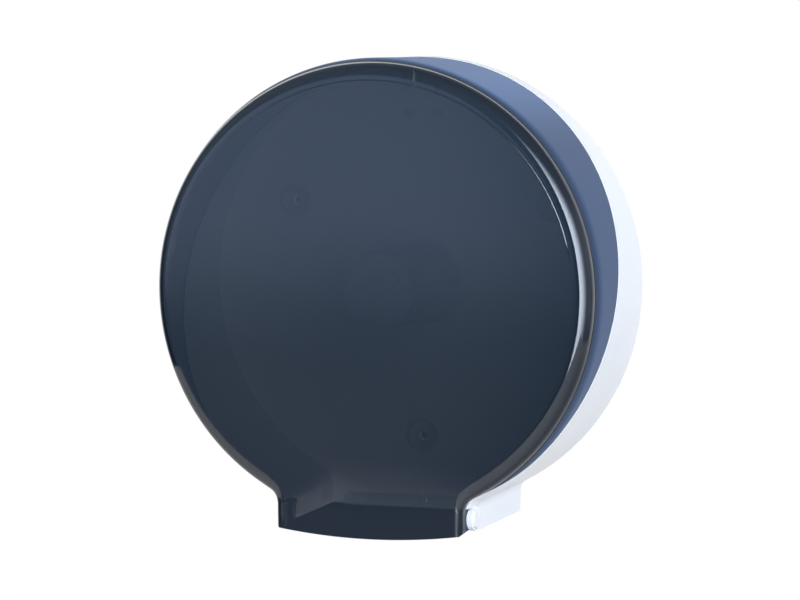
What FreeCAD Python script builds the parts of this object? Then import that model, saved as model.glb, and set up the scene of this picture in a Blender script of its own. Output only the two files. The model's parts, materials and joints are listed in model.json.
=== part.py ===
import FreeCAD, Part
import math
import os

# Jumbo toilet roll dispenser: a round wall case with a short neck where the paper comes out.
# The wall plane is y = 0 and the case axis is the Y axis. The front faces -Y, and every depth
# is measured from the wall towards the front. Lengths are in millimetres.

Vector = FreeCAD.Vector

# Case
case_radius = 165.0
base_wall = 3.0
rim_depth = 118.8
rim_inset = 3.4
seam_gap = 0.5

# Slanted plane where the cover meets the base: its depth at the top of the case, and the
# share of the case radius below the axis at which it reaches the rim
parting_top_depth = 9.6
parting_rim_share = 0.854

# Neck of the base. Its sides draw in towards the front, more steeply near the rim, and end in
# an ear on each side with a round end about the hinge
neck_half_width = 74.4
neck_draft = 2.4
neck_reach = 3.0
neck_fillet = 8.0
ear_wall = 3.7
ear_setback = 6.5
eye_radius = 8.6

# Locating lip inside the seam
lip_wall = 1.6
lip_reach = 3.0
lip_clearance = 0.5
lip_end_share = 0.68

# Cover
cover_wall = 3.0
band_step = 0.5
rim_step_length = 11.0
shoulder_radius = 11.0
crown_height = 3.0
cover_neck_inset = 4.4
cover_neck_fillet = 12.0
outlet_overhang = 6.0
outlet_side_overhang = 1.2
outlet_corner = 3.0

# Hinge pins, bushes and clips
pin_radius = 3.0
pin_head_radius = 6.45
pin_head_height = 2.4
pin_head_round = 0.6
pin_head_proud = 0.5
counterbore_clearance = 0.9
counterbore_rise = 2.4
lug_radius = 8.0
lug_clearance = 1.2
bush_wall = 1.4
bush_flange_width = 1.6
bush_flange_height = 1.2
running_clearance = 0.06
clip_width = 2.2
clip_height = 1.0
side_play = 0.3

# Wall screw holes in their dished bosses
wall_hole_count = 3
wall_hole_inset = 50.0
wall_hole_radius = 2.75
boss_radius = 12.0
boss_height = 3.0
dish_radius = 10.5
dish_floor_radius = 5.5
dish_depth = 2.4

# Fixed spindle post and its screws
seat_radius = 28.0
seat_height = 1.5
post_radius = 9.0
post_bore_radius = 5.0
post_plug_length = 14.0
post_flange_radius = 24.0
post_flange_height = 4.0
post_screw_circle_radius = 17.5
post_screw_count = 3

# Turning hub on the post
hub_back_radius = 31.0
hub_front_radius = 26.0
hub_front_room = 24.8
hub_wall = 2.5
hub_gap = 1.5
hub_web_height = 3.0
hub_bearing_length = 16.0
hub_bearing_wall = 3.0
hub_bearing_inset = 2.0
hub_front_recess = 10.0
hub_bush_wall = 2.0
hub_rib_count = 6
hub_rib_width = 3.0
hub_rib_height = 1.2

# Drag spring, washer and screw at the end of the post
spring_wall = 0.8
spring_rise = 1.2
spring_outer_radius = 12.0
spring_clearance = 0.3
washer_radius = 13.0
washer_height = 1.5

# End cap of the hub with its finger bar
cap_height = 3.0
cap_collar_height = 5.0
cap_collar_wall = 2.0
cap_clearance = 0.05
finger_bar_length = 38.0
finger_bar_width = 9.0
finger_bar_height = 2.0
finger_bar_angle = 36.0

# Small pan-head screws
screw_radius = 1.75
screw_head_radius = 3.4
screw_head_height = 2.2
screw_slot_width = 0.9
screw_slot_depth = 0.9
screw_floor = 0.8

# Key lock in the top of the cover
lock_setback = 20.4
lock_radius = 8.0
lock_flange_radius = 9.8
lock_flange_height = 0.9
lock_flange_clearance = 0.2
lock_length = 16.0
lock_bore_wall = 2.5
lock_pad_radius = 13.0
lock_pad_height = 4.0
lock_nut_radius = 12.0
lock_nut_height = 3.0
key_slot_length = 7.0
key_slot_width = 1.8
key_slot_depth = 3.0
cam_length = 19.6
cam_width = 10.0
cam_wall = 2.0
cam_gap = 0.4
cam_tab_height = 9.5
tang_width = 6.0
cam_screw_head_radius = 4.8

# Catch on the base that the cam turns behind
catch_width = 10.0
catch_wall = 2.5
catch_gap = 1.4
catch_play = 1.0
catch_foot_width = 34.0
catch_foot_height = 20.0
catch_foot_wall = 2.0
catch_screw_spacing = 22.0

# Toothed tear blade on the lower back edge
blade_side_inset = 12.4
blade_height = 10.0
blade_wall = 0.8
blade_overhang = 1.4
tooth_count = 40
rivet_radius = 1.6
rivet_head_radius = 3.2
rivet_head_height = 1.1
rivet_spacing_share = 0.84
rivet_height_share = 0.6

# Overrun of every cut, and a length beyond the whole case
overrun = 2.0
reach = 3 * case_radius

# Worked-out sizes
rim_radius = case_radius - rim_inset
parting_rim_drop = case_radius * parting_rim_share
parting_slope = (rim_depth - parting_top_depth) / (case_radius + parting_rim_drop)
parting_depth = parting_top_depth + parting_slope * case_radius
lip_end_drop = case_radius * lip_end_share
neck_drop = case_radius + neck_reach
cover_neck_half_width = neck_half_width - cover_neck_inset
outlet_drop = neck_drop + outlet_overhang
outlet_side_drop = neck_drop + outlet_side_overhang
band_radius = case_radius - band_step
shoulder_start_radius = rim_radius - shoulder_radius
crown_radius = (shoulder_start_radius ** 2 + crown_height ** 2) / (2 * crown_height)
face_depth = rim_depth + shoulder_radius + crown_height
ear_front = rim_depth - seam_gap
taper_start = rim_depth - rim_step_length
front_radius = rim_radius + seam_gap
hinge_depth = ear_front - ear_setback - eye_radius
hinge_drop = neck_drop - eye_radius
ear_outer = neck_half_width - neck_draft * hinge_depth / taper_start
pin_seat = ear_outer + pin_head_proud - pin_head_height
counterbore_radius = pin_head_radius + counterbore_clearance
bush_radius = pin_radius + running_clearance + bush_wall
lug_outer = ear_outer - ear_wall - lug_clearance
lug_inner = lug_outer - cover_wall
clip_outer = lug_inner - bush_flange_height - side_play
wall_hole_circle_radius = case_radius - wall_hole_inset
blade_half_width = neck_half_width - blade_side_inset
rivet_spacing = blade_half_width * rivet_spacing_share
lock_depth = parting_top_depth + lock_setback
hub_length = rim_depth - hub_front_room
post_base = base_wall + seat_height
hub_start = post_base + post_flange_height + hub_gap
hub_end = hub_start + hub_length
bearing_bore = post_radius + running_clearance + hub_bush_wall
rear_bearing = hub_start + hub_bearing_inset
front_bearing = hub_end - hub_front_recess - hub_bearing_length
post_end = hub_end - hub_front_recess + spring_rise + spring_clearance
lock_top = math.sqrt(band_radius ** 2 - lock_flange_radius ** 2)
lock_seat = lock_top - lock_flange_height
lock_floor = lock_seat - lock_length
pad_floor = band_radius - cover_wall - lock_pad_height
barrel_radius = lock_radius - lock_bore_wall
cam_top = lock_floor - cam_gap
cam_tip_inner = cam_length - cam_wall
catch_back = lock_depth - cam_tip_inner + catch_play
catch_top = cam_top - cam_wall - catch_gap
catch_shelf_top = cam_top - cam_tab_height - catch_gap
catch_foot_drop = catch_shelf_top - catch_wall - catch_foot_height / 2
rivet_z = -neck_drop - blade_overhang + blade_height * rivet_height_share


# Basic forms
def at(x, depth, z):
    return Vector(x, -depth, z)


def rod_y(radius, near, far, x=0, z=0):
    return Part.makeCylinder(radius, far - near, at(x, near, z), Vector(0, -1, 0))


def rod_x(radius, low, high, depth, z):
    return Part.makeCylinder(radius, high - low, at(low, depth, z), Vector(1, 0, 0))


def rod_z(radius, low, high, depth):
    return Part.makeCylinder(radius, high - low, at(0, depth, low), Vector(0, 0, 1))


def block(x_low, x_high, near, far, z_low, z_high):
    corner = at(x_low, far, z_low)
    return Part.makeBox(x_high - x_low, far - near, z_high - z_low, corner)


def plate(points, direction):
    return Part.Face(Part.makePolygon(points + points[:1])).extrude(direction)


def spin(profile):
    # A closed profile of (radius, depth) pairs turned about the case axis
    points = [at(radius, depth, 0) for radius, depth in profile]
    face = Part.Face(Part.makePolygon(points + points[:1]))
    return face.revolve(Vector(0, 0, 0), Vector(0, 1, 0), 360)


def on_circle(radius, count, first_angle):
    angles = [math.radians(first_angle + 360 * i / count) for i in range(count)]
    return [(radius * math.cos(a), radius * math.sin(a)) for a in angles]


def pan_screw(tip, seat, x, z):
    # Shank from the tip to the seat, then a slotted pan head in front of it
    top = seat + screw_head_height
    screw = rod_y(screw_radius, tip, seat, x, z).fuse(rod_y(screw_head_radius, seat, top, x, z))
    slot = block(x - screw_head_radius, x + screw_head_radius, top - screw_slot_depth,
                 top + overrun, z - screw_slot_width / 2, z + screw_slot_width / 2)
    return screw.cut(slot)


# Case forms
def outline(radius, half_width, fillet, drop, depth):
    # Round case outline with a straight-sided neck below it, joined by fillets
    centre_x = half_width + fillet
    centre_z = -math.sqrt((radius + fillet) ** 2 - centre_x ** 2)
    touch_share = radius / (radius + fillet)
    left = at(-centre_x * touch_share, depth, centre_z * touch_share)
    right = at(centre_x * touch_share, depth, centre_z * touch_share)
    low_left = at(-half_width, depth, -drop)
    low_right = at(half_width, depth, -drop)

    def corner(side, start, end):
        to_case = Vector(-side * centre_x, 0, -centre_z).normalize()
        middle = (to_case + Vector(-side, 0, 0)).normalize()
        return Part.Arc(start, at(side * centre_x, depth, centre_z) + middle * fillet, end)

    neck_right = at(half_width, depth, centre_z)
    neck_left = at(-half_width, depth, centre_z)
    curves = [Part.Arc(left, at(0, depth, radius), right),
              corner(1, right, neck_right),
              Part.LineSegment(neck_right, low_right),
              Part.LineSegment(low_right, low_left),
              Part.LineSegment(low_left, neck_left),
              corner(-1, neck_left, left)]
    return Part.Wire([curve.toShape() for curve in curves])


def case_form(radius, half_width, fillet, drop, near, far):
    wire = outline(radius, half_width, fillet, drop, near)
    return Part.Face(wire).extrude(Vector(0, near - far, 0))


def behind_parting(offset):
    # Everything between the wall side and a plane parallel to the parting plane
    low_depth = parting_depth + parting_slope * reach + offset
    high_depth = parting_depth - parting_slope * reach + offset
    points = [at(-reach, -reach, -reach), at(-reach, low_depth, -reach),
              at(-reach, high_depth, reach), at(-reach, -reach, reach)]
    return plate(points, Vector(2 * reach, 0, 0))


def front_form(inset):
    # Domed front and its rounded shoulder, from well behind the rim, inset all round
    drop = outlet_drop + 2 * shoulder_radius
    blank = case_form(rim_radius - inset, cover_neck_half_width - inset,
                      cover_neck_fillet + inset, drop, rim_depth - shoulder_radius,
                      face_depth + shoulder_radius)
    dome = Part.makeSphere(crown_radius - inset, at(0, face_depth - crown_radius, 0))
    blank = blank.common(dome)
    domed = [face for face in blank.Faces if isinstance(face.Surface, Part.Sphere)]
    edges = [edge for edge in domed[0].Edges if edge.BoundBox.ZMax > -outlet_drop]
    return blank.makeFillet(shoulder_radius - inset, edges)


def outlet_trim():
    # Everything above the curved lower edge of the cover's neck
    half = cover_neck_half_width
    bend = outlet_corner
    bend_share = 1 - math.sqrt(0.5)
    side_z = -outlet_side_drop

    def corner(side):
        return (at(side * half, 0, side_z + bend),
                at(side * (half - bend * bend_share), 0, side_z + bend * bend_share),
                at(side * (half - bend), 0, side_z))

    right, left = corner(1), corner(-1)
    top = reach
    curves = [Part.Arc(*right),
              Part.Arc(right[2], at(0, 0, -outlet_drop), left[2]),
              Part.Arc(left[2], left[1], left[0]),
              Part.LineSegment(left[0], at(-reach, 0, side_z + bend)),
              Part.LineSegment(at(-reach, 0, side_z + bend), at(-reach, 0, top)),
              Part.LineSegment(at(-reach, 0, top), at(reach, 0, top)),
              Part.LineSegment(at(reach, 0, top), at(reach, 0, side_z + bend)),
              Part.LineSegment(at(reach, 0, side_z + bend), right[0])]
    face = Part.Face(Part.Wire([curve.toShape() for curve in curves]))
    return face.extrude(Vector(0, -reach, 0))


# Base
def tapered_form(side_inset, neck_inset, drop, near):
    # Case outline whose neck draws in towards the front, and the whole to the rim at last
    radius = case_radius - side_inset
    fillet = neck_fillet + side_inset
    back = outline(radius, neck_half_width - neck_inset, fillet, drop, near)
    middle = outline(radius, neck_half_width - neck_draft - neck_inset, fillet, drop, taper_start)
    front_size = (front_radius - side_inset, cover_neck_half_width - neck_inset,
                  cover_neck_fillet + side_inset, drop)
    draft = Part.makeLoft([back, middle], True, True)
    taper = Part.makeLoft([middle, outline(*front_size, ear_front)], True, True)
    return draft.fuse(taper), front_size


def base_shell():
    shell, _ = tapered_form(0, 0, neck_drop, 0)
    cavity, mouth = tapered_form(base_wall, ear_wall, neck_drop + overrun, base_wall)
    shell = shell.cut(cavity).cut(case_form(*mouth, ear_front - seam_gap, reach))
    shell = shell.common(behind_parting(0))
    # Front end of each ear, rounded about the hinge
    ahead = block(-reach, reach, hinge_depth, hinge_depth + reach, -reach, eye_radius - hinge_drop)
    shell = shell.cut(ahead.cut(rod_x(eye_radius, -reach, reach, hinge_depth, -hinge_drop)))
    shell = shell.fuse(locating_lip())
    shell = shell.fuse(rod_y(seat_radius, base_wall / 2, post_base))
    for x, z in on_circle(wall_hole_circle_radius, wall_hole_count, -90):
        shell = wall_boss(shell, x, z)
    for side in (-1, 1):
        shell = shell.cut(mirrored(pin_hole(), side))
    for x, z in on_circle(post_screw_circle_radius, post_screw_count, 90):
        shell = shell.cut(rod_y(screw_radius, screw_floor, post_base + overrun, x, z))
    for side in (-1, 1):
        x = side * catch_screw_spacing / 2
        shell = shell.cut(rod_y(screw_radius, screw_floor, base_wall + overrun, x, catch_foot_drop))
    return shell.cut(rivet_rods(-overrun, base_wall + overrun, rivet_radius)).removeSplitter()


def pin_hole():
    # Through hole, and the recess round the pin's head, which is longer upwards
    hole = rod_x(pin_radius, 0, reach, hinge_depth, -hinge_drop)
    low = rod_x(counterbore_radius, pin_seat, reach, hinge_depth, -hinge_drop)
    high = rod_x(counterbore_radius, pin_seat, reach, hinge_depth, counterbore_rise - hinge_drop)
    middle = block(pin_seat, reach, hinge_depth - counterbore_radius,
                   hinge_depth + counterbore_radius, -hinge_drop, counterbore_rise - hinge_drop)
    return hole.fuse(low).fuse(high).fuse(middle)


def locating_lip():
    # Thin ring inside the seam that centres the cover, left out near the neck
    tip = band_radius - cover_wall - lip_clearance
    root = case_radius - base_wall / 2
    inner = tip - lip_wall
    front = rod_y(tip, 0, rim_depth).cut(rod_y(inner, -overrun, reach))
    front = front.common(behind_parting(lip_reach)).cut(behind_parting(-lip_reach))
    back = rod_y(root, 0, rim_depth).cut(rod_y(inner, -overrun, reach))
    back = back.common(behind_parting(0)).cut(behind_parting(-lip_reach))
    above = block(-reach, reach, base_wall / 2, reach, -lip_end_drop, reach)
    return front.fuse(back).common(above)


def wall_boss(shell, x, z):
    top = base_wall + boss_height
    floor = top - dish_depth
    boss = rod_y(boss_radius, base_wall / 2, top, x, z)
    dish = Part.makeCone(dish_floor_radius, dish_radius, dish_depth, at(x, floor, z), Vector(0, -1, 0))
    hole = rod_y(wall_hole_radius, -overrun, top + overrun, x, z)
    return shell.fuse(boss).cut(dish).cut(hole)


def rivet_rods(near, far, radius):
    spots = [i * rivet_spacing for i in (-1, 0, 1)]
    return Part.makeCompound([rod_y(radius, near, far, x, rivet_z) for x in spots])


def tear_blade():
    # Steel strip with a row of saw teeth along its lower edge
    pitch = 2 * blade_half_width / tooth_count
    tip = -neck_drop - blade_overhang
    root = tip + blade_overhang
    points = [at(-blade_half_width, base_wall, root)]
    for i in range(tooth_count):
        start = -blade_half_width + i * pitch
        points.append(at(start + pitch / 2, base_wall, tip))
        points.append(at(start + pitch, base_wall, root))
    points.append(at(blade_half_width, base_wall, tip + blade_height))
    points.append(at(-blade_half_width, base_wall, tip + blade_height))
    blade = plate(points, Vector(0, -blade_wall, 0))
    return blade.cut(rivet_rods(0, base_wall + overrun, rivet_radius))


def blade_rivets():
    seat = base_wall + blade_wall
    shanks = rivet_rods(0, seat, rivet_radius).Solids
    heads = rivet_rods(seat, seat + rivet_head_height, rivet_head_radius).Solids
    return Part.makeCompound([shank.fuse(head) for shank, head in zip(shanks, heads)])


def catch_bracket():
    # Foot on the back panel, a shelf and an upright hook that the cam's tab goes behind
    foot_low = catch_foot_drop - catch_foot_height / 2
    foot = block(-catch_foot_width / 2, catch_foot_width / 2, base_wall,
                 base_wall + catch_foot_wall, foot_low, catch_shelf_top)
    front = catch_back + catch_wall
    shelf = block(-catch_width / 2, catch_width / 2, base_wall, front,
                  catch_shelf_top - catch_wall, catch_shelf_top)
    hook = block(-catch_width / 2, catch_width / 2, catch_back, front,
                 catch_shelf_top - catch_wall, catch_top)
    bracket = foot.fuse(shelf).fuse(hook)
    for side in (-1, 1):
        hole = rod_y(screw_radius, 0, base_wall + catch_foot_wall + overrun,
                     side * catch_screw_spacing / 2, catch_foot_drop)
        bracket = bracket.cut(hole)
    return bracket.removeSplitter()


def catch_screws():
    seat = base_wall + catch_foot_wall
    spots = [side * catch_screw_spacing / 2 for side in (-1, 1)]
    return Part.makeCompound([pan_screw(screw_floor, seat, x, catch_foot_drop) for x in spots])


# Hinge
def hinge_pin(side):
    head = rod_x(pin_head_radius, pin_seat, pin_seat + pin_head_height, hinge_depth, -hinge_drop)
    rim = [edge for edge in head.Edges if edge.BoundBox.XMin > pin_seat + pin_head_height / 2]
    head = head.makeFillet(pin_head_round, rim)
    tail = clip_outer - clip_height - side_play
    pin = head.fuse(rod_x(pin_radius, tail, pin_seat, hinge_depth, -hinge_drop))
    return mirrored(pin, side)


def hinge_clip(side):
    low = clip_outer - clip_height
    clip = rod_x(pin_radius + clip_width, low, clip_outer, hinge_depth, -hinge_drop)
    return mirrored(clip.cut(rod_x(pin_radius, 0, reach, hinge_depth, -hinge_drop)), side)


def hinge_bush(side):
    flange_low = lug_inner - bush_flange_height
    flange_radius = bush_radius + bush_flange_width
    bush = rod_x(bush_radius, flange_low, lug_outer, hinge_depth, -hinge_drop)
    bush = bush.fuse(rod_x(flange_radius, flange_low, lug_inner, hinge_depth, -hinge_drop))
    bore = rod_x(pin_radius + running_clearance, 0, reach, hinge_depth, -hinge_drop)
    return mirrored(bush.cut(bore), side)


def mirrored(shape, side):
    if side > 0:
        return shape
    return shape.mirror(Vector(0, 0, 0), Vector(1, 0, 0))


# Cover
def cover_shell():
    before_rim = block(-reach, reach, rim_depth, reach, -reach, reach)
    front = front_form(0).cut(front_form(cover_wall)).common(before_rim)
    shell = front.fuse(side_band())
    for side in (-1, 1):
        shell = shell.fuse(neck_lug(side))
    shell = shell.common(outlet_trim())
    shell = shell.cut(rod_x(bush_radius, -cover_neck_half_width, cover_neck_half_width,
                            hinge_depth, -hinge_drop))
    shell = shell.fuse(rod_z(lock_pad_radius, pad_floor, lock_seat - overrun / 2, lock_depth))
    shell = shell.cut(rod_z(lock_radius, pad_floor - overrun, reach, lock_depth))
    recess = rod_z(lock_flange_radius + lock_flange_clearance, lock_seat, reach, lock_depth)
    return shell.cut(recess).removeSplitter()


def side_band():
    # Side wall of the cover, from the slanted seam to the rounded step at the rim
    step = band_radius - rim_radius
    inner = rim_radius - cover_wall
    step_radius = (step ** 2 + rim_step_length ** 2) / (2 * step)
    half_turn = math.asin(rim_step_length / step_radius) / 2
    bend = at(band_radius - step_radius * (1 - math.cos(half_turn)),
              taper_start + step_radius * math.sin(half_turn), 0)
    band = [Part.LineSegment(at(band_radius - cover_wall, 0, 0), at(band_radius, 0, 0)),
            Part.LineSegment(at(band_radius, 0, 0), at(band_radius, taper_start, 0)),
            Part.Arc(at(band_radius, taper_start, 0), bend, at(rim_radius, rim_depth, 0)),
            Part.LineSegment(at(rim_radius, rim_depth, 0), at(inner, rim_depth, 0)),
            Part.LineSegment(at(inner, rim_depth, 0), at(inner, rim_depth - cover_wall, 0)),
            Part.LineSegment(at(inner, rim_depth - cover_wall, 0),
                             at(band_radius - cover_wall, rim_depth - cover_wall, 0)),
            Part.LineSegment(at(band_radius - cover_wall, rim_depth - cover_wall, 0),
                             at(band_radius - cover_wall, 0, 0))]
    face = Part.Face(Part.Wire([curve.toShape() for curve in band]))
    ring = face.revolve(Vector(0, 0, 0), Vector(0, 1, 0), 360)
    return ring.cut(behind_parting(seam_gap))


def neck_lug(side):
    # Plate behind the cover's neck, round about the hinge pin
    low, high = lug_inner, lug_outer
    front = rim_depth + shoulder_radius - cover_wall / 2
    points = [at(low, front, -hinge_drop + lug_radius),
              at(low, hinge_depth, -hinge_drop + lug_radius),
              at(low, hinge_depth, -hinge_drop - lug_radius),
              at(low, front, -outlet_side_drop)]
    lug = plate(points, Vector(high - low, 0, 0))
    lug = lug.fuse(rod_x(lug_radius, low, high, hinge_depth, -hinge_drop))
    return mirrored(lug, side)


# Lock
def lock_bush():
    bush = rod_z(lock_flange_radius, lock_seat, lock_top, lock_depth)
    bush = bush.fuse(rod_z(lock_radius, lock_floor, lock_seat, lock_depth))
    return bush.cut(rod_z(barrel_radius + running_clearance, lock_floor - overrun, reach, lock_depth))


def lock_nut():
    corners = [at(x, lock_depth + y, pad_floor) for x, y in on_circle(lock_nut_radius, 6, 0)]
    nut = plate(corners, Vector(0, 0, -lock_nut_height))
    return nut.cut(rod_z(lock_radius, pad_floor - lock_nut_height - overrun, reach, lock_depth))


def lock_barrel():
    barrel = rod_z(barrel_radius, lock_floor - cam_gap, lock_top, lock_depth)
    half = tang_width / 2
    tang = block(-half, half, lock_depth - half, lock_depth + half, cam_top - cam_wall, cam_top)
    barrel = barrel.fuse(tang)
    floor = lock_top - key_slot_depth
    long_half, short_half = key_slot_length / 2, key_slot_width / 2
    slot = block(-long_half, long_half, lock_depth - short_half, lock_depth + short_half, floor, reach)
    cross = block(-short_half, short_half, lock_depth - long_half, lock_depth + short_half, floor, reach)
    hole = rod_z(screw_radius, cam_top - cam_wall - overrun, cam_top + screw_head_radius, lock_depth)
    return barrel.cut(slot.fuse(cross)).cut(hole)


def lock_cam():
    # Flat arm that points along +X while unlocked, with a tab turned down at its tip
    low = cam_top - cam_wall
    half = cam_width / 2
    arm = block(0, cam_length, lock_depth - half, lock_depth + half, low, cam_top)
    arm = arm.fuse(rod_z(half, low, cam_top, lock_depth))
    tab = block(cam_tip_inner, cam_length, lock_depth - half, lock_depth + half,
                cam_top - cam_tab_height, cam_top)
    tip = rod_z(cam_length, cam_top - cam_tab_height - overrun, reach, lock_depth)
    cam = arm.fuse(tab).common(tip)
    square = tang_width / 2
    tang = block(-square, square, lock_depth - square, lock_depth + square,
                 low - overrun, cam_top + overrun)
    return cam.cut(tang).removeSplitter()


def cam_screw():
    seat = cam_top - cam_wall
    shank = rod_z(screw_radius, seat, cam_top + screw_head_radius, lock_depth)
    head = rod_z(cam_screw_head_radius, seat - screw_head_height, seat, lock_depth)
    slot = block(-reach, reach, lock_depth - screw_slot_width / 2, lock_depth + screw_slot_width / 2,
                 seat - screw_head_height - overrun, seat - screw_head_height + screw_slot_depth)
    return shank.fuse(head).cut(slot)


# Spindle
def spindle_post():
    post = rod_y(post_flange_radius, post_base, post_base + post_flange_height)
    post = post.fuse(rod_y(post_radius, post_base, post_end))
    post = post.cut(rod_y(post_bore_radius, post_base - overrun, post_end - post_plug_length))
    post = post.cut(rod_y(screw_radius, post_end - post_plug_length - overrun, post_end + overrun))
    for x, z in on_circle(post_screw_circle_radius, post_screw_count, 90):
        post = post.cut(rod_y(screw_radius, 0, hub_start, x, z))
    return post


def post_screws():
    seat = post_base + post_flange_height
    spots = on_circle(post_screw_circle_radius, post_screw_count, 90)
    return Part.makeCompound([pan_screw(screw_floor, seat, x, z) for x, z in spots])


def hub_cone(grow):
    return Part.makeCone(hub_back_radius + grow, hub_front_radius + grow, hub_length,
                         at(0, hub_start, 0), Vector(0, -1, 0))


def spindle_hub():
    hollow = hub_cone(-hub_wall)
    hub = hub_cone(0).cut(hollow)
    bearing_radius = bearing_bore + hub_bearing_wall
    for near in (rear_bearing, front_bearing):
        web_near = near + (hub_bearing_length - hub_web_height) / 2
        hub = hub.fuse(rod_y(reach, web_near, web_near + hub_web_height).common(hub_cone(0)))
        hub = hub.fuse(rod_y(bearing_radius, near, near + hub_bearing_length))
        hub = hub.cut(rod_y(bearing_bore, near - overrun, near + hub_bearing_length + overrun))
    ribs = hub_cone(hub_rib_height).cut(hub_cone(-hub_wall / 2))
    for i in range(hub_rib_count):
        slab = block(0, reach, hub_start, hub_end, -hub_rib_width / 2, hub_rib_width / 2)
        slab.rotate(Vector(0, 0, 0), Vector(0, 1, 0), 360 * i / hub_rib_count)
        hub = hub.fuse(slab.common(ribs))
    return hub.removeSplitter()


def hub_bush(near):
    bush = rod_y(bearing_bore, near, near + hub_bearing_length)
    return bush.cut(rod_y(post_radius + running_clearance, 0, reach))


def drag_spring():
    # Conical spring washer that presses on the front bush and gives the hub its drag
    near = front_bearing + hub_bearing_length + spring_clearance
    inner = post_radius + spring_clearance
    return spin([(inner, near + spring_rise - spring_wall), (inner, near + spring_rise),
                 (spring_outer_radius, near + spring_wall), (spring_outer_radius, near)])


def end_washer():
    washer = rod_y(washer_radius, post_end, post_end + washer_height)
    return washer.cut(rod_y(screw_radius, 0, reach))


def end_screw():
    return pan_screw(post_end - post_plug_length, post_end + washer_height, 0, 0)


def hub_cap():
    # Cap plugged into the front of the hub, with a raised bar for the fingers
    cap = rod_y(hub_front_radius, hub_end, hub_end + cap_height)
    collar_outer = hub_front_radius - hub_wall - cap_clearance
    collar = rod_y(collar_outer, hub_end - cap_collar_height, hub_end)
    collar = collar.cut(rod_y(collar_outer - cap_collar_wall, 0, reach))
    front = hub_end + cap_height + finger_bar_height
    half_gap = (finger_bar_length - finger_bar_width) / 2
    bar = block(-half_gap, half_gap, hub_end, front, -finger_bar_width / 2, finger_bar_width / 2)
    for side in (-1, 1):
        bar = bar.fuse(rod_y(finger_bar_width / 2, hub_end, front, side * half_gap, 0))
    bar.rotate(Vector(0, 0, 0), Vector(0, 1, 0), -finger_bar_angle)
    return cap.fuse(collar).fuse(bar).removeSplitter()


# Every node of the model
nodes = {
    "base_shell": base_shell(),
    "tear_blade": tear_blade(),
    "tear_blade_rivets": blade_rivets(),
    "catch_bracket": catch_bracket(),
    "catch_screws": catch_screws(),
    "hinge_pin_left": hinge_pin(-1),
    "hinge_pin_right": hinge_pin(1),
    "hinge_clip_left": hinge_clip(-1),
    "hinge_clip_right": hinge_clip(1),
    "hinge_bush_left": hinge_bush(-1),
    "hinge_bush_right": hinge_bush(1),
    "cover_shell": cover_shell(),
    "lock_bush": lock_bush(),
    "lock_nut": lock_nut(),
    "lock_barrel": lock_barrel(),
    "lock_cam": lock_cam(),
    "lock_cam_screw": cam_screw(),
    "spindle_post": spindle_post(),
    "spindle_post_screws": post_screws(),
    "spindle_hub": spindle_hub(),
    "hub_bush_rear": hub_bush(rear_bearing),
    "hub_bush_front": hub_bush(front_bearing),
    "drag_spring": drag_spring(),
    "end_washer": end_washer(),
    "end_screw": end_screw(),
    "hub_cap": hub_cap(),
}

os.makedirs("parts", exist_ok=True)
for name, shape in nodes.items():
    shape.exportStep("parts/" + name + ".step")
    print(name, len(shape.Solids), "solid", round(shape.Volume), "mm3")
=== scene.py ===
import json
import math

import bmesh
import bpy
from mathutils import Matrix, Vector


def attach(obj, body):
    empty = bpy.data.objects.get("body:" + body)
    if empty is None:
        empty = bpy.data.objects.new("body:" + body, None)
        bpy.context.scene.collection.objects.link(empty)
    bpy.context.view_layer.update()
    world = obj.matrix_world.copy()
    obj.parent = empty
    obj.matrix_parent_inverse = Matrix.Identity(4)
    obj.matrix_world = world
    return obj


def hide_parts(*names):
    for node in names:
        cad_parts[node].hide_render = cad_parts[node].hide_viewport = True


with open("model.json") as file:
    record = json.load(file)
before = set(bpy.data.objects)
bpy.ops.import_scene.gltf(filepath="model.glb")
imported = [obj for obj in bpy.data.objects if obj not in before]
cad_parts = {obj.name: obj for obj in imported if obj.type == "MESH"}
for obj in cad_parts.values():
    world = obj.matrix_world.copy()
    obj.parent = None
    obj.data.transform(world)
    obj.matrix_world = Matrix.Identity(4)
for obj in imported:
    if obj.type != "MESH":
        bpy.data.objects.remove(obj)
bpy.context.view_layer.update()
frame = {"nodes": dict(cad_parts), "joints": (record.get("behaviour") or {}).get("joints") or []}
scene = bpy.context.scene
mm = 0.001
print("frame loaded")


# Shader maths: one wrapped socket, so that sums and products add their own nodes

class Wire:
    def __init__(self, tree, socket):
        self.tree = tree
        self.socket = socket

    def node(self, kind, inputs=None, output=0, **settings):
        made = self.tree.nodes.new("ShaderNode" + kind)
        for key, value in settings.items():
            setattr(made, key, value)
        for key, value in (inputs or {}).items():
            if isinstance(value, Wire):
                self.tree.links.new(value.socket, made.inputs[key])
            else:
                made.inputs[key].default_value = value
        return Wire(self.tree, made.outputs[output])

    def math(self, operation, first, second):
        return self.node("Math", {0: first, 1: second}, operation=operation)

    def __add__(self, other):
        return self.math("ADD", self, other)

    __radd__ = __add__

    def __mul__(self, other):
        return self.math("MULTIPLY", self, other)

    __rmul__ = __mul__

    def __sub__(self, other):
        return self.math("SUBTRACT", self, other)

    def __rsub__(self, other):
        return self.math("SUBTRACT", other, self)

    def step(self, low, high, start=0.0, end=1.0):  # smooth step between two values
        return self.node("MapRange", {"Value": self, "From Min": low, "From Max": high,
                                      "To Min": start, "To Max": end},
                         interpolation_type="SMOOTHSTEP")

    def blend(self, first, second):  # colour mix by this factor
        return self.node("Mix", {0: self, 6: first, 7: second}, output=2, data_type="RGBA")

    def noise(self, scale, detail, rough=0.5):
        return self.node("TexNoise", {"Vector": self, "Scale": scale, "Detail": detail,
                                      "Roughness": rough})

    def stretch(self, x, y, z):
        return self.node("Mapping", {"Vector": self, "Scale": (x, y, z)})

    def axis(self, index):
        return self.node("SeparateXYZ", {"Vector": self}, output=index)


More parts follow.
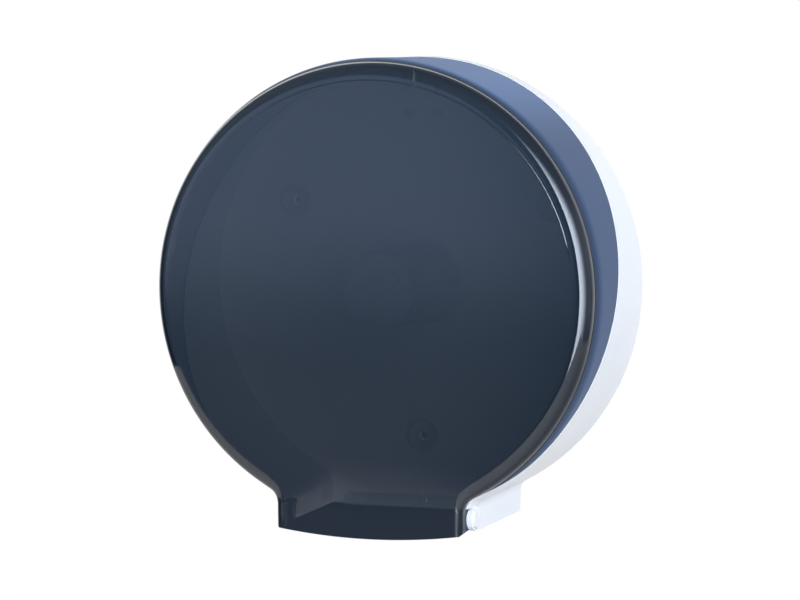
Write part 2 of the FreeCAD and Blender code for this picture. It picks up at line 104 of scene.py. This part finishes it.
def newMaterial(name, shading, **fixed):
    # shading gets the object coordinates and returns what varies over the surface
    made = bpy.data.materials.new(name)
    made.use_nodes = True
    tree = made.node_tree
    shader = tree.nodes["Principled BSDF"]
    for key, value in fixed.items():
        shader.inputs[key.replace("_", " ")].default_value = value
    place = Wire(tree, tree.nodes.new("ShaderNodeTexCoord").outputs["Object"])
    for key, value in shading(place).items():
        tree.links.new(value.socket, shader.inputs[key.replace("_", " ")])
    return made


def bumped(height, distance):
    return height.node("Bump", {"Height": height, "Distance": distance, "Strength": 1.0})


def fromAxis(place):
    # Depth from the wall, the place flattened across the case's axis, and its radius
    across = place.node("VectorMath", {0: place, 1: (1, 0, 1)}, operation="MULTIPLY")
    radius = across.node("VectorMath", {0: across}, output=1, operation="LENGTH")
    return place.axis(1) * -1.0, across, radius


# Finishes: colours, noise scales, roughness, and bump heights in metres. Pairs are the two values
# between which a mask fades, in metres of depth from the wall, of height or of radius

# The inner colour is painted shade for the inside faces, and the dish colour is painted shade for
# the screw dishes
whitePlastic = dict(light=(0.90, 0.885, 0.865, 1), shade=(0.87, 0.858, 0.84, 1),
                    inner=(0.74, 0.735, 0.73, 1), dish=(0.50, 0.51, 0.53, 1),
                    cloud=14, cloudMask=(0.3, 0.7), grain=900, wave=38,
                    gloss=0.2, cloudMatt=0.06, grainMatt=0.05, innerMatt=0.15,
                    grainShare=0.15, bump=0.04 * mm,
                    panelDepth=(0.0015, 0.0028), innerRadius=(0.1628, 0.1618),
                    holeCircle=0.115, holeTurns=(30, 150, 270), bossEdge=(0.0123, 0.0117))


def shadeWhite(place):
    s = whitePlastic
    cloud = place.noise(s["cloud"], 2.0)
    grain = place.noise(s["grain"], 2.0)
    wave = place.noise(s["wave"], 1.0)
    # The inner faces are duller and get painted shade, darkest in the dished places for the wall
    # screws
    depth, across, radius = fromAxis(place)
    shadedInside = depth.step(*s["panelDepth"]) * radius.step(*s["innerRadius"])
    # Painted shade: a darker disc round each wall-screw hole stands for the shade in its recess
    spots = []
    for turn in s["holeTurns"]:
        angle = math.radians(turn)
        middle = Vector((math.cos(angle), 0, math.sin(angle))) * s["holeCircle"]
        away = across.node("VectorMath", {0: across, 1: middle}, output=1, operation="DISTANCE")
        spots.append(away.step(*s["bossEdge"]))
    shadedDishes = sum(spots) * shadedInside
    outer = cloud.step(*s["cloudMask"]).blend(s["light"], s["shade"])
    return {"Base_Color": shadedDishes.blend(shadedInside.blend(outer, s["inner"]), s["dish"]),
            "Roughness": (s["gloss"] + cloud * s["cloudMatt"] + grain * s["grainMatt"]
                          + shadedInside * s["innerMatt"]),
            "Normal": bumped(grain * s["grainShare"] + wave, s["bump"])}


whiteGloss = newMaterial("whiteGloss", shadeWhite, IOR=1.46, Coat_Weight=0.08,
                         Coat_Roughness=0.08)

# Painted light and shade among these colours: a darker face low down, a darker rolled shoulder, a
# lighter top on the side wall, and a dark edge at the rim groove and the seam
smoked = dict(face=(0.011, 0.025, 0.042, 1), faceShadedLow=(0.012, 0.020, 0.030, 1),
              roll=(0.004, 0.010, 0.021, 1),
              band=(0.027, 0.069, 0.158, 1), bandLitTop=(0.104, 0.19, 0.36, 1),
              bandEdgeShade=(0.024, 0.043, 0.08, 1), clear=0.67, bandClear=0.90,
              haze=9, grain=1900, gloss=0.05, hazeMatt=0.02, neckMatt=0.3, bandMatt=0.42,
              grainMatt=0.1, bump=0.05 * mm,
              seamTop=0.0101, seamSlope=0.35698, caseRadius=0.165, seamWidth=(0.0038, 0.0022),
              seamHeight=(-0.01, 0.05), topHeight=(0.10, 0.158), lowHeight=(0.12, -0.14),
              coatHeight=(0.0, -0.06), neckHeight=(-0.144, -0.156), neckDepth=(0.1305, 0.1295),
              bandDepth=(0.1186, 0.1178), bandRadius=(0.16152, 0.1617),
              edgeDepth=(0.1090, 0.1180), rollDepth=(0.1298, 0.126), flatView=(0.3, 0.95))


def shadeSmoked(place):
    s = smoked
    depth, across, radius = fromAxis(place)
    height = place.axis(2)
    band = depth.step(*s["bandDepth"]) * radius.step(*s["bandRadius"])
    edge = depth.step(*s["edgeDepth"])
    neck = height.step(*s["neckHeight"]) * depth.step(*s["neckDepth"])
    haze = place.noise(s["haze"], 3.0)
    grain = place.noise(s["grain"], 2.0)
    # Painted shade: the face darker towards the bottom
    low = height.step(*s["lowHeight"])
    # Painted shade: the rolled shoulder darker than the face
    roll = depth.step(*s["rollDepth"])
    face = roll.blend(low.blend(s["face"], s["faceShadedLow"]), s["roll"])
    # Painted light: the side wall lighter at the top
    side = height.step(*s["topHeight"]).blend(s["band"], s["bandLitTop"])
    # Painted shadow: a dark line along the upper half of the seam
    seam = depth - (s["seamTop"] + (s["caseRadius"] - height) * s["seamSlope"])
    seam = seam.step(*s["seamWidth"]) * height.step(*s["seamHeight"])
    # Painted shade darkens the side wall towards the rim groove, joined by the painted seam shadow
    side = edge.math("MAXIMUM", edge, seam).blend(side, s["bandEdgeShade"])
    # The wall looks denser where it is seen at a flat angle
    flat = place.node("LayerWeight", {"Blend": 0.5}, output=1).step(*s["flatView"])
    thin = s["clear"] + band * (s["bandClear"] - s["clear"])
    # No coat on the side wall, the neck's mouth and the lower shoulder
    coat = (1.0 - band) * (1.0 - neck) * (1.0 - roll * height.step(*s["coatHeight"]))
    return {"Base_Color": band.blend(face, side),
            "Alpha": thin + flat * (1 - thin),
            "Roughness": (s["gloss"] + haze * s["hazeMatt"] + neck * s["neckMatt"]
                          + band * (s["bandMatt"] + grain * s["grainMatt"])),
            "Coat_Weight": coat,
            "Normal": bumped(grain * band, s["bump"])}


smokedGloss = newMaterial("smokedGloss", shadeSmoked, IOR=1.49, Coat_Roughness=0.03)

greyPlastic = dict(light=(0.62, 0.65, 0.70, 1), dark=(0.55, 0.58, 0.63, 1),
                   cloud=24, cloudMask=(0.3, 0.7), grain=1500,
                   gloss=0.42, grainMatt=0.12, bump=0.04 * mm)


def shadeGrey(place):
    s = greyPlastic
    cloud = place.noise(s["cloud"], 3.0)
    grain = place.noise(s["grain"], 2.0)
    return {"Base_Color": cloud.step(*s["cloudMask"]).blend(s["light"], s["dark"]),
            "Roughness": s["gloss"] + grain * s["grainMatt"],
            "Normal": bumped(grain, s["bump"])}


greySatin = newMaterial("greySatin", shadeGrey, IOR=1.5)

nylon = dict(light=(0.80, 0.79, 0.74, 1), dark=(0.70, 0.69, 0.63, 1), cloud=60, grain=2200,
             gloss=0.38, grainMatt=0.15, bump=0.03 * mm)


def shadeNylon(place):
    s = nylon
    cloud = place.noise(s["cloud"], 3.0)
    grain = place.noise(s["grain"], 2.0)
    return {"Base_Color": cloud.blend(s["light"], s["dark"]),
            "Roughness": s["gloss"] + grain * s["grainMatt"],
            "Normal": bumped(grain, s["bump"])}


nylonMatt = newMaterial("nylonMatt", shadeNylon, IOR=1.53)

zinc = dict(light=(0.62, 0.63, 0.64, 1), dark=(0.48, 0.49, 0.51, 1),
            bloom=240, bloomMask=(0.3, 0.75), grain=2600, gloss=0.28, bloomMatt=0.2,
            bump=0.02 * mm)


def shadeZinc(place):
    s = zinc
    bloom = place.noise(s["bloom"], 4.0, 0.6)
    grain = place.noise(s["grain"], 2.0)
    return {"Base_Color": bloom.step(*s["bloomMask"]).blend(s["light"], s["dark"]),
            "Roughness": s["gloss"] + bloom * s["bloomMatt"],
            "Normal": bumped(grain + bloom, s["bump"])}


zincSteel = newMaterial("zincSteel", shadeZinc, Metallic=1.0)

brushed = dict(light=(0.66, 0.67, 0.68, 1), dark=(0.55, 0.56, 0.58, 1), lines=(30, 400, 3200),
               stain=80, gloss=0.2, lineMatt=0.22, bump=0.03 * mm)


def shadeBrushed(place):
    s = brushed
    lines = place.stretch(*s["lines"]).noise(1.0, 3.0, 0.7)
    stain = place.noise(s["stain"], 3.0)
    return {"Base_Color": stain.blend(s["light"], s["dark"]),
            "Roughness": s["gloss"] + lines * s["lineMatt"],
            "Normal": bumped(lines, s["bump"])}


brushedSteel = newMaterial("brushedSteel", shadeBrushed, Metallic=1.0)

nickel = dict(light=(0.70, 0.71, 0.73, 1), dark=(0.52, 0.53, 0.55, 1), turned=(900, 900, 60),
              worn=300, wornMask=(0.35, 0.7), gloss=0.12, wornMatt=0.2, bump=0.02 * mm)


def shadeLock(place):
    s = nickel
    turned = place.stretch(*s["turned"]).noise(1.0, 2.0)
    worn = place.noise(s["worn"], 4.0, 0.7)
    return {"Base_Color": worn.step(*s["wornMask"]).blend(s["light"], s["dark"]),
            "Roughness": s["gloss"] + worn * s["wornMatt"],
            "Normal": bumped(turned, s["bump"])}


lockNickel = newMaterial("lockNickel", shadeLock, Metallic=1.0)
print("finishes made")


# Mesh helpers

def asObject(bm, name):
    mesh = bpy.data.meshes.new(name)
    bm.to_mesh(mesh)
    bm.free()
    made = bpy.data.objects.new(name, mesh)
    scene.collection.objects.link(made)
    return made


def merged(bm, tool, operation):
    # Joins another closed mesh to this one, or cuts it out, and returns the result
    first, second = asObject(bm, "first"), asObject(tool, "second")
    change = first.modifiers.new("change", "BOOLEAN")
    change.operation = operation
    change.solver = "EXACT"
    change.object = second
    view = bpy.context.evaluated_depsgraph_get()
    result = bpy.data.meshes.new_from_object(first.evaluated_get(view))
    out = bmesh.new()
    out.from_mesh(result)
    for old in (first, second):
        bpy.data.objects.remove(old)
    bpy.data.meshes.remove(result)
    return out


def rod(radius, start, end):
    # Closed round bar between two points
    bm = bmesh.new()
    a, b = Vector(start), Vector(end)
    turn = Vector((0, 0, 1)).rotation_difference(b - a).to_matrix().to_4x4()
    bmesh.ops.create_cone(bm, cap_ends=True, segments=96, radius1=radius, radius2=radius,
                          depth=(b - a).length, matrix=Matrix.Translation((a + b) / 2) @ turn)
    return bm


def openEdges(bm):
    return [e for e in bm.edges if len(e.link_faces) == 1]


def finished(name, bm, material, body, nodes):
    # Turns a bmesh into a piece that rides on its body and stands for its CAD nodes
    sharp = math.radians(24)
    for face in bm.faces:
        face.smooth = True
    for edge in bm.edges:
        edge.smooth = len(edge.link_faces) == 2 and edge.calc_face_angle(0) < sharp
    piece = asObject(bm, name)
    piece.data.materials.append(material)
    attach(piece, body)
    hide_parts(*nodes)
    return piece


def nextRow(bm, row, closed=False):
    # Extrudes a chain of vertices and returns the new chain in the same order
    pairs = zip(row, row[1:] + row[:1]) if closed else zip(row, row[1:])
    edges = [bm.edges.get(pair) for pair in pairs]
    made = set(bmesh.ops.extrude_edge_only(bm, edges=edges)["geom"])
    return [next(e.other_vert(v) for e in v.link_edges if e.other_vert(v) in made) for v in row]


# Front cover. The last settings are shares: how fast the inner wall runs, where it turns in and
# ends, how steep the shoulder may start, and how the rings of the face run to its middle

cover = dict(rimRadius=161.6 * mm, rimDepth=118.8 * mm, bandRadius=164.5 * mm, stepLength=11 * mm,
             shoulder=11 * mm, neckShoulder=5.6 * mm, crown=3.0 * mm, neckHalf=69 * mm,
             fillet=12 * mm, wall=3 * mm,
             outletMiddle=-174 * mm, outletSide=-169.2 * mm, corner=3 * mm,
             partingTop=9.6 * mm, partingSlope=0.35698, caseRadius=165 * mm, seam=0.5 * mm,
             seamRound=0.4 * mm, rimGroove=0.3 * mm, ledge=0.35 * mm,
             tightFrom=-138 * mm, tightLength=16 * mm, ledgeFrom=22 * mm, ledgeFade=24 * mm,
             ledgeRings=[(1.1, 0.0), (1.4, 0.15), (1.7, 0.6), (2.0, 0.95), (2.3, 1.0)],
             arcSteps=110, filletSteps=12, neckSteps=10, lowSteps=60, shoulderSteps=18,
             wallSteps=24, faceSteps=30, mergeWithin=0.002 * mm, thinnest=0.001 * mm,
             innerStretch=1.25, innerTurn=0.9, innerEnd=0.95, steepest=0.9, pastGroove=1.5,
             faceFrom=0.02, faceRun=0.96)


def caseOutline(low):
    # Points and outward directions from the right neck corner over the top to the left one
    s = cover
    centreX = s["neckHalf"] + s["fillet"]
    centreZ = -math.sqrt((s["rimRadius"] + s["fillet"]) ** 2 - centreX ** 2)
    touch = math.atan2(-centreZ, centreX)
    right = [(Vector((s["neckHalf"], 0, low + (centreZ - low) * i / s["neckSteps"])),
              Vector((1, 0, 0))) for i in range(s["neckSteps"])]
    for i in range(s["filletSteps"]):
        angle = touch * i / s["filletSteps"]
        normal = Vector((math.cos(angle), 0, -math.sin(angle)))
        right.append((Vector((centreX, 0, centreZ)) - normal * s["fillet"], normal))
    for i in range(s["arcSteps"] + 1):
        angle = -touch + (touch + math.pi / 2) * i / s["arcSteps"]
        normal = Vector((math.cos(angle), 0, math.sin(angle)))
        right.append((normal * s["rimRadius"], normal))
    left = [(Vector((-p.x, 0, p.z)), Vector((-n.x, 0, n.z))) for p, n in reversed(right[:-1])]
    return right + left


def eased(share):
    # Smooth run from 0 to 1, flat outside that range
    share = min(max(share, 0), 1)
    return share * share * (3 - 2 * share)


def outletZ(x):
    # Lower edge of the cover's neck: one shallow arc with a small round corner at each side
    s = cover
    half = s["neckHalf"] - s["corner"]
    sag = s["outletSide"] - s["outletMiddle"]
    bow = (half ** 2 + sag ** 2) / (2 * sag)
    z = s["outletMiddle"] + bow - math.sqrt(bow ** 2 - min(abs(x), half) ** 2)
    over = max(abs(x) - half, 0)
    return z + s["corner"] - math.sqrt(max(s["corner"] ** 2 - over ** 2, 0))


def shoulderAt(point):
    # The rolled edge gets tighter over the fillets, down to the neck's sides
    s = cover
    share = eased((s["tightFrom"] - point.z) / s["tightLength"])
    return s["shoulder"] + (s["neckShoulder"] - s["shoulder"]) * share


def bandStep(depth):
    # How far the side wall stands out from the rim circle at a depth
    s = cover
    step = s["bandRadius"] - s["rimRadius"]
    radius = (step ** 2 + s["stepLength"] ** 2) / (2 * step)
    ahead = max(depth - s["rimDepth"] + s["stepLength"], 0)
    return step - radius + math.sqrt(radius ** 2 - ahead ** 2)


def domeDepth(point, inner):
    # Depth of the face, outside or inside, which is a shallow dome over the shoulder's circle
    s = cover
    crown = s["crown"] - (0 if inner else s["ledge"])
    edge = s["rimRadius"] - s["shoulder"]
    bow = (edge ** 2 + crown ** 2) / (2 * crown)
    top = s["rimDepth"] + s["shoulder"] + s["crown"]
    return top - bow + math.sqrt(bow ** 2 - point.length_squared) - (s["wall"] if inner else 0)


def ledgeAt(point):
    # The small ledge round the upper half of the face runs out at both sides
    return cover["ledge"] * eased((point.z - cover["ledgeFrom"]) / cover["ledgeFade"])


def coverSkin(bm, inner):
    # Side wall from the seam, rolled shoulder and domed face, outside or inside
    s = cover
    shift = s["wall"] if inner else 0
    rim = s["rimDepth"]
    outline = caseOutline(outletZ(s["neckHalf"]))
    starts = [min(s["partingTop"] + s["partingSlope"] * (s["caseRadius"] - p.z) + s["seam"], rim)
              for p, n in outline]
    row = [bm.verts.new((0, 0, i)) for i in range(len(outline))]
    for pair in zip(row, row[1:]):
        bm.edges.new(pair)
    ends = [row[0], row[-1]]

    def put(vert, place, depth):
        vert.co = (place.x, -depth, place.z)

    # Side wall rows, by their share of the way to the rim. The inner wall turns in to the
    # shoulder a wall's thickness before the rim
    for k in range(s["wallSteps"] + 1):
        share = k / s["wallSteps"]
        if k:
            row = nextRow(bm, row)
        for vert, (point, normal), start in zip(row, outline, starts):
            length = rim - start
            if inner:
                top = max(start, rim - s["wall"])
                depth = start + (top - start) * min(share * s["innerStretch"], 1)
                depth = depth if share < s["innerEnd"] else rim
                offset = bandStep(start) if start < rim and share < s["innerTurn"] else 0
            else:  # the seam's edge is rounded over the first two rows
                depth = start + (min(s["seamRound"], length) if k == 1 else length * share)
                offset = bandStep(depth) if start < rim else 0
                if k == 0:
                    offset -= min(s["seamRound"], length)
            put(vert, point + normal * (offset - shift), depth)
        if k:
            ends += [row[0], row[-1]]
    rolls = [shoulderAt(p) for p, n in outline]
    if not inner:  # fine groove where the side wall meets the shoulder
        for depth, inset in ((0, 1), (1, 0)):
            row = nextRow(bm, row)
            for vert, (point, normal), start in zip(row, outline, starts):
                share = min(max((rim - start) / s["stepLength"], 0), 1)
                place = point - normal * (inset * share * s["rimGroove"])
                put(vert, place, rim + depth * share * s["rimGroove"])
            ends += [row[0], row[-1]]
    for k in range(1, s["shoulderSteps"] + 1):
        row = nextRow(bm, row)
        for vert, (point, normal), outerRoll in zip(row, outline, rolls):
            roll = outerRoll - shift
            top = point - normal * outerRoll
            ridge = domeDepth(top, inner) - (0 if inner else ledgeAt(top))
            centre = ridge - roll
            begin = math.asin(min(max((rim - centre) / roll, 0), s["steepest"]))
            angle = begin + (math.pi / 2 - begin) * (k - 1) / (s["shoulderSteps"] - 1)
            place = point - normal * (shift + roll * (1 - math.cos(angle)))
            depth = centre + roll * math.sin(angle)
            if k == 1:
                depth = max(depth, rim + s["rimGroove"] * s["pastGroove"])
            put(vert, place, depth)
        ends += [row[0], row[-1]]
    for vert in ends:  # the neck's lower ends follow the curved outlet
        vert.co.z = outletZ(vert.co.x)
    half = row[0].co.x
    lowRow = [bm.verts.new((-half + 2 * half * i / s["lowSteps"], 0, 0))
              for i in range(1, s["lowSteps"])]
    for vert in lowRow:
        place = Vector((vert.co.x, 0, outletZ(vert.co.x)))
        put(vert, place, domeDepth(place, inner))
    loop = row + lowRow
    chain = [row[-1]] + lowRow + [row[0]]
    for pair in zip(chain, chain[1:]):
        bm.edges.new(pair)
    # Face rings, scaled towards the middle, with the ledge in the first few
    flat = [Vector((v.co.x, 0, v.co.z)) for v in loop]
    edge = s["rimRadius"] - s["shoulder"]
    scales = [] if inner else [(1 - inset * mm / edge, rise) for inset, rise in s["ledgeRings"]]
    scales += [(1 - s["faceFrom"] - s["faceRun"] * (i / s["faceSteps"]), 1.0)
               for i in range(s["faceSteps"] + 1)]
    ring = loop
    for scale, rise in scales:
        ring = nextRow(bm, ring, closed=True)
        for vert, place in zip(ring, flat):
            spot = place * scale
            drop = 0 if inner else ledgeAt(place) * (1 - rise)
            put(vert, spot, domeDepth(spot, inner) - drop)
    bmesh.ops.pointmerge(bm, verts=ring, merge_co=(0, -domeDepth(Vector((0, 0, 0)), inner), 0))


def buildCover():
    # The two skins, each merged alone, joined along their rims
    bm = bmesh.new()
    for inner in (False, True):
        before = set(bm.verts)
        coverSkin(bm, inner)
        added = [v for v in bm.verts if v not in before]
        bmesh.ops.remove_doubles(bm, verts=added, dist=cover["mergeWithin"])
    bmesh.ops.bridge_loops(bm, edges=openEdges(bm))
    bmesh.ops.dissolve_degenerate(bm, edges=bm.edges, dist=cover["thinnest"])
    bmesh.ops.recalc_face_normals(bm, faces=bm.faces)
    print("cover skin", len(bm.faces), "faces,", len(openEdges(bm)), "open edges")
    return bm


def slab(points, along):
    # A flat outline pushed along a direction into a closed plate
    bm = bmesh.new()
    face = bm.faces.new([bm.verts.new(p) for p in points])
    made = bmesh.ops.extrude_face_region(bm, geom=[face])["geom"]
    bmesh.ops.translate(bm, verts=[g for g in made if isinstance(g, bmesh.types.BMVert)], vec=along)
    bmesh.ops.recalc_face_normals(bm, faces=bm.faces)
    return bm


def jointPlace(name):
    return Vector(next(j for j in frame["joints"] if j["name"] == name)["pos_m"])


lug = dict(radius=8 * mm, outer=67.2 * mm, inner=64.2 * mm, bush=4.46 * mm, front=128.3 * mm)


def addLugs(bm):
    s = lug
    hinge = jointPlace("cover_hinge")
    y, z = hinge.y, hinge.z
    for side in (-1, 1):
        low, high = side * s["inner"], side * s["outer"]
        points = [(low, -s["front"], z + s["radius"]), (low, y, z + s["radius"]),
                  (low, y, z - s["radius"]), (low, -s["front"], cover["outletSide"])]
        plate = slab(points, (high - low, 0, 0))
        plate = merged(plate, rod(s["radius"], (low, y, z), (high, y, z)), "UNION")
        bm = merged(bm, plate, "UNION")
    end = s["outer"] + mm
    return merged(bm, rod(s["bush"], (-end, y, z), (end, y, z)), "DIFFERENCE")


# Each step by its radius, the heights it runs between, and what it does
lockSeat = dict(pad=(13 * mm, 157.5 * mm, 163.0 * mm, "UNION"),
                hole=(8 * mm, 150 * mm, 170 * mm, "DIFFERENCE"),
                recess=(10 * mm, 163.31 * mm, 170 * mm, "DIFFERENCE"))


def addLockSeat(bm):
    lock = jointPlace("lock_turn")
    for radius, low, high, operation in lockSeat.values():
        bm = merged(bm, rod(radius, (lock.x, lock.y, low), (lock.x, lock.y, high)), operation)
    return bm


coverMesh = addLockSeat(addLugs(buildCover()))
coverShell = finished("coverShell", coverMesh, smokedGloss, "cover",
                      ["cover_shell"])
print("cover made", len(coverShell.data.polygons), "faces")

# CAD nodes that keep their own shape

nodeFinish = dict(
    base_shell=whiteGloss, hinge_pin_left=whiteGloss, hinge_pin_right=whiteGloss,
    spindle_post=greySatin, spindle_hub=greySatin, hub_cap=greySatin,
    hinge_bush_left=nylonMatt, hinge_bush_right=nylonMatt, hub_bush_rear=nylonMatt,
    hub_bush_front=nylonMatt, tear_blade=brushedSteel, tear_blade_rivets=zincSteel,
    catch_bracket=whiteGloss, catch_screws=zincSteel, hinge_clip_left=zincSteel,
    hinge_clip_right=zincSteel, spindle_post_screws=zincSteel, drag_spring=zincSteel,
    end_washer=zincSteel, end_screw=zincSteel, lock_cam=zincSteel, lock_cam_screw=zincSteel,
    lock_bush=lockNickel, lock_nut=lockNickel, lock_barrel=lockNickel)
for nodeName, material in nodeFinish.items():
    slots = frame["nodes"][nodeName].data.materials
    slots.clear()
    slots.append(material)
print("nodes dressed")

# Studio: floor, backdrop, world, lamp and camera

studio = dict(ground=-1.7, half=5.0, back=3.2, top=3.6, white=(1, 1, 1, 1), level=0.22, shadeThrough=0.9)


def sight(tree):
    # The light path, 1 behind a first see-through surface, and 1 for the camera's direct view
    path = tree.nodes.new("ShaderNodeLightPath").outputs
    through = Wire(tree, path["Transparent Depth"])
    through = through.math("MINIMUM", through, 1.0)
    return path, through, Wire(tree, path["Is Camera Ray"]) * (1 - through)


def stageMaterial(name, level):
    # Plain pale surface that the camera and mirrors see as white, with painted shade making it dark
    # behind the cover
    made = bpy.data.materials.new(name)
    made.use_nodes = True
    tree = made.node_tree
    tree.nodes.clear()
    path, through, seen = sight(tree)
    seen = seen + Wire(tree, path["Is Glossy Ray"]) + Wire(tree, path["Is Transmission Ray"])
    seen = seen.math("MINIMUM", seen, 1.0)
    shade = level * (1 - studio["shadeThrough"] * through)
    colour = shade.node("CombineColor", {0: shade, 1: shade, 2: shade})
    matt = seen.node("BsdfDiffuse", {"Color": colour})
    glow = seen.node("Emission", {"Color": studio["white"], "Strength": 1.0})
    both = seen.node("MixShader", {0: seen, 1: matt, 2: glow})
    out = tree.nodes.new("ShaderNodeOutputMaterial")
    tree.links.new(both.socket, out.inputs["Surface"])
    return made


def stagePlane(name, corners, material):
    bm = bmesh.new()
    bm.faces.new([bm.verts.new(c) for c in corners])
    made = asObject(bm, name)
    made.data.materials.append(material)


paleStage = stageMaterial("paleStage", studio["level"])
half, back, ground, top = studio["half"], studio["back"], studio["ground"], studio["top"]
stagePlane("floor", [(-half, -half, ground), (half, -half, ground), (half, back, ground),
                     (-half, back, ground)], paleStage)
stagePlane("backdrop", [(-half, back, ground), (half, back, ground), (half, back, top),
                        (-half, back, top)], paleStage)

# World: even air, a pale window at the left of the camera that the flat face shows, one behind
# the dispenser, and a bright one at the right, with a clear near edge and fading sideways, for
# the line along the shoulder. Edges are pairs of degrees of lift above the horizon or turn to
# the right, from nothing to full, and some say what they run between
air = dict(edge=(-15, 37), glow=(0.05, 0.36), tint=(0.72, 0.85, 1.0, 1))
windows = dict(
    left=dict(lift=[(-7, -1.5, 0.25, 1.0), (-40, -16), (25, 9)],
              turn=[(-2.5, -18.5), (-24, -34, 1.0, 1.5), (-62, -46)],
              glow=0.95, tint=(0.56, 0.70, 1.0, 1)),
    right=dict(lift=[(-38, -5), (38, 10)], turn=[(15, 18), (150, 110), (24, 74, 11.6, 0.62)],
               glow=1.0, tint=(0.78, 0.86, 1.0, 1)),
    rear=dict(lift=[(-35, -5), (40, 15)], turn=[(-100, -125)], glow=0.8,
              tint=(0.72, 0.85, 1.0, 1)))

world = bpy.data.worlds.new("studioAir")
scene.world = world
world.use_nodes = True
tree = world.node_tree
tree.nodes.clear()
way = Wire(tree, tree.nodes.new("ShaderNodeTexCoord").outputs["Generated"])
degrees = 180 / math.pi
lift = way.axis(2).node("Math", {0: way.axis(2)}, operation="ARCSINE") * degrees
turn = way.math("ARCTAN2", way.axis(0), way.axis(1) * -1.0) * degrees


def sky(colour, strength):
    return way.node("Background", {"Color": colour, "Strength": strength})


both = sky(air["tint"], lift.step(*air["edge"], *air["glow"]))
for s in windows.values():
    edges = [lift.step(*edge) for edge in s["lift"]] + [turn.step(*edge) for edge in s["turn"]]
    both = way.node("AddShader", {0: both, 1: sky(s["tint"], math.prod(edges, start=s["glow"]))})
path, through, seen = sight(tree)
both = way.node("MixShader", {0: seen, 1: both, 2: sky(studio["white"], 1.0)})
tree.links.new(both.socket, tree.nodes.new("ShaderNodeOutputWorld").inputs["Surface"])

# The lamp by turn from the front, lift and distance, with its size in metres and its radiance
topBox = dict(turn=170, lift=68, far=2.0, size=(1.6, 1.2), glow=1.8, tint=(0.82, 0.92, 1.0))
lamp = bpy.data.lights.new("topBox", "AREA")
lamp.shape = "RECTANGLE"
lamp.size, lamp.size_y = topBox["size"]
lamp.energy = topBox["glow"] * math.pi * topBox["size"][0] * topBox["size"][1]
lamp.color = topBox["tint"]
holder = bpy.data.objects.new("topBox", lamp)
scene.collection.objects.link(holder)
around, above = math.radians(topBox["turn"]), math.radians(topBox["lift"])
aim = Vector((math.sin(around) * math.cos(above), -math.cos(around) * math.cos(above),
              math.sin(above)))
holder.location = aim * topBox["far"]
holder.rotation_euler = aim.to_track_quat("Z", "Y").to_euler()
holder.visible_glossy = False

# The view, fitted to the outlines in the photograph
view = dict(lens=144, sensor=36, clipEnd=20, place=(0.73045, -2.24067, 0.17708),
            right=(0.9482152, 0.3176170, 0.0026961), up=(-0.0283135, 0.0760668, 0.9967006),
            behind=(0.3163640, -0.9451631, 0.0811206))
camera = bpy.data.cameras.new("camera")
camera.lens = view["lens"]
camera.sensor_width = view["sensor"]
camera.clip_end = view["clipEnd"]
eye = bpy.data.objects.new("camera", camera)
scene.collection.objects.link(eye)
facing = Matrix((view["right"], view["up"], view["behind"])).transposed().to_4x4()
eye.matrix_world = Matrix.Translation(view["place"]) @ facing
scene.camera = eye
scene.view_settings.view_transform = "Standard"
print("studio set")
